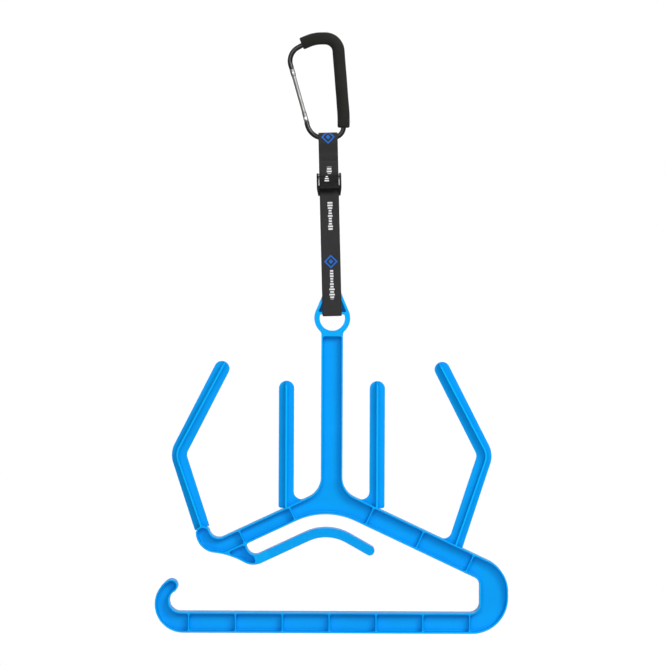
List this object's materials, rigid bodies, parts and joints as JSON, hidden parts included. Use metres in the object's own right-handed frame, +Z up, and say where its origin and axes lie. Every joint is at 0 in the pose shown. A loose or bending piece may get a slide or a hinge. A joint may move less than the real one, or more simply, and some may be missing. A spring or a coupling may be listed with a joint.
{
  "type": "wetsuit hanger",
  "caption": "Ribbed plastic wetsuit hanger with boot and glove pegs, a side-opening lower bar and an accessory arm, hung from a webbing strap with a cam buckle and a sleeved carabiner.",
  "frame": {"origin": "the hang point: the inner top of the carabiner's foam sleeve, where a rail carries it", "axes": "+Z up, +X to the right seen from the front, -Y towards the viewer"},
  "size_m": [0.458, 0.0336, 0.7802],
  "materials": {
    "hanger_plastic": "satin moulded polypropylene, bright blue",
    "carabiner_metal": "black anodised aluminium rod",
    "gate_metal": "bright polished aluminium",
    "small_steel": "plain bright steel",
    "sleeve_foam": "matt black closed-cell foam",
    "webbing": null,
    "thread": "black bonded thread",
    "buckle_plastic": "black moulded plastic, fine grain"
  },
  "bodies": {
    "carabiner": {"carabiner_body": "carabiner_metal", "carabiner_sleeve": "sleeve_foam", "gate_rivet": "small_steel"},
    "gate": {"carabiner_gate": "gate_metal", "gate_latch_pin": "small_steel", "gate_spring": "small_steel", "gate_follower": "small_steel"},
    "strap": {"strap_webbing": "webbing", "strap_stitching": "thread", "buckle_body": "buckle_plastic", "buckle_bar": "small_steel", "buckle_pin": "small_steel", "buckle_spring": "small_steel"},
    "lever": {"buckle_lever": "buckle_plastic"},
    "hanger": {"frame_eye": "hanger_plastic", "frame_neck": "hanger_plastic", "frame_hub": "hanger_plastic", "frame_shoulder_left": "hanger_plastic", "frame_shoulder_right": "hanger_plastic", "frame_end_bow": "hanger_plastic", "frame_lower_bar": "hanger_plastic", "frame_bar_hook": "hanger_plastic", "frame_shoulder_curl": "hanger_plastic", "frame_accessory_arm": "hanger_plastic", "peg_inner_left": "hanger_plastic", "peg_inner_right": "hanger_plastic", "peg_outer_left": "hanger_plastic", "peg_outer_right": "hanger_plastic"}
  },
  "joints": [
    {"name": "gate_hinge", "type": "hinge", "parent": "carabiner", "child": "gate", "pos_m": [-0.0212, 0, -0.0958], "axis": [0, 1, 0], "range_deg": [0, 28], "stiffness_Nm_per_rad": 0.15, "springref_deg": -34.38},
    {"name": "strap_swing", "type": "hinge", "parent": "carabiner", "child": "strap", "pos_m": [0.0079, 0, -0.12096], "axis": [0.9986, 0, 0.0524], "range_deg": [-60, 60]},
    {"name": "lever_hinge", "type": "hinge", "parent": "strap", "child": "lever", "pos_m": [0.00938, -0.0156, -0.17467], "axis": [-0.9996, 0, -0.0274], "range_deg": [0, 50], "stiffness_Nm_per_rad": 0.05, "springref_deg": -28.65},
    {"name": "hanger_swing", "type": "hinge", "parent": "strap", "child": "hanger", "pos_m": [0.0128, 0, -0.3], "axis": [1, 0, 0], "range_deg": [-40, 40], "deforming": ["strap_webbing"]}
  ]
}
